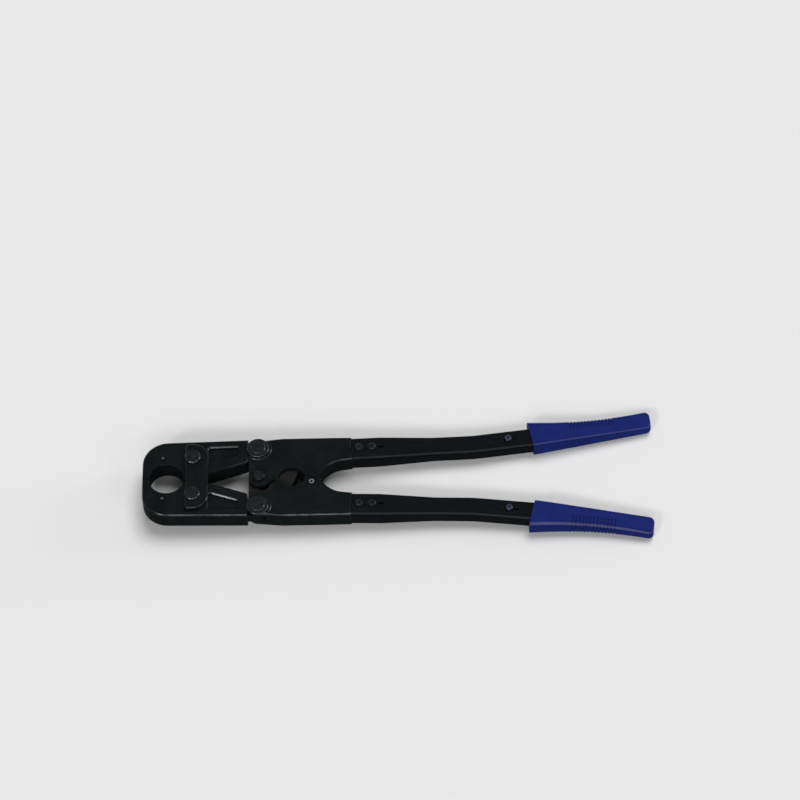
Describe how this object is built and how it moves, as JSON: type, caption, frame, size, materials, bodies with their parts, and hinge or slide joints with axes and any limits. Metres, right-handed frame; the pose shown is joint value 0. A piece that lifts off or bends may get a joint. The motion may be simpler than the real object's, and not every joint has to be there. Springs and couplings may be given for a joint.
{
  "type": "pipe press pliers",
  "caption": "Hand press pliers for pipe fittings: two jaws with a round die seat in strap plates, worked by two pinned levers with long bent tube handles and blue grips.",
  "frame": {"origin": "centre of the round die seat, midway through the jaws' thickness", "axes": "+X from the head to the grips, +Y to the upper handle, +Z out of the front strap along the die seat's axis"},
  "size_m": [0.5725, 0.1674, 0.0412],
  "materials": {
    "black_steel": "satin black",
    "black_tube": "satin black paint",
    "black_fastener": "black oxide",
    "bright_steel": "bright",
    "spring_steel": "dull",
    "core_steel": "plain",
    "zinc": "blue-white zinc plating",
    "blue_grip": "fine satin grain"
  },
  "bodies": {
    "straps": {"front_strap": "black_steel", "rear_strap": "black_steel", "upper_jaw_bolt": "black_fastener", "lower_jaw_bolt": "black_fastener", "jaw_bolt_nuts": "black_fastener"},
    "upper_jaw": {"upper_jaw": "black_steel", "upper_lock_plug": "black_fastener", "upper_lock_spring": "spring_steel"},
    "lower_jaw": {"lower_jaw": "black_steel", "lower_lock_plug": "black_fastener", "lower_lock_spring": "spring_steel"},
    "upper_lever": {"upper_lever": "black_steel", "upper_tail_pin": "black_fastener", "upper_tail_washer": "black_fastener", "upper_tail_clip": "spring_steel", "upper_handle_tube": "black_tube", "upper_handle_bolts": "black_fastener", "upper_handle_nuts": "black_fastener", "upper_grip_core": "core_steel", "upper_grip": "blue_grip", "upper_grip_screw": "zinc", "centre_bolt": "black_fastener", "centre_nut": "black_fastener"},
    "lower_lever": {"lower_lever": "black_steel", "lower_tail_pin": "black_fastener", "lower_tail_washer": "black_fastener", "lower_tail_clip": "spring_steel", "lower_handle_tube": "black_tube", "lower_handle_bolts": "black_fastener", "lower_handle_nuts": "black_fastener", "lower_grip_core": "core_steel", "lower_grip": "blue_grip", "lower_grip_screw": "zinc", "stop_screw": "bright_steel"},
    "upper_lock_button": {"upper_lock_button": "bright_steel"},
    "lower_lock_button": {"lower_lock_button": "bright_steel"}
  },
  "joints": [
    {"name": "upper_jaw_hinge", "type": "hinge", "parent": "straps", "child": "upper_jaw", "pos_m": [0.0294, 0.0248, 0], "axis": [0, 0, 1], "range_deg": [-19, 0]},
    {"name": "upper_handle_hinge", "type": "hinge", "parent": "upper_jaw", "child": "upper_lever", "pos_m": [0.1025, 0.0389, 0], "axis": [0, 0, 1], "range_deg": [0, 85.18]},
    {"name": "upper_lock_press", "type": "slide", "parent": "upper_jaw", "child": "upper_lock_button", "axis": [0, 0, -1], "range_m": [0, 0.0015], "stiffness_N_per_m": 800, "deforming": ["upper_lock_spring"]},
    {"name": "lower_jaw_hinge", "type": "hinge", "parent": "straps", "child": "lower_jaw", "pos_m": [0.0294, -0.0248, 0], "axis": [0, 0, 1], "range_deg": [0, 19]},
    {"name": "lower_handle_hinge", "type": "hinge", "parent": "lower_jaw", "child": "lower_lever", "pos_m": [0.1025, -0.0389, 0], "axis": [0, 0, 1], "range_deg": [-85.18, 0]},
    {"name": "lower_lock_press", "type": "slide", "parent": "lower_jaw", "child": "lower_lock_button", "axis": [0, 0, -1], "range_m": [0, 0.0015], "stiffness_N_per_m": 800, "deforming": ["lower_lock_spring"]}
  ],
  "couplings": [
    {"joint": "upper_jaw_hinge", "follows": "upper_handle_hinge", "ratio": -0.223},
    {"joint": "lower_jaw_hinge", "follows": "upper_handle_hinge", "ratio": 0.223},
    {"joint": "lower_handle_hinge", "follows": "upper_handle_hinge", "ratio": -1}
  ]
}
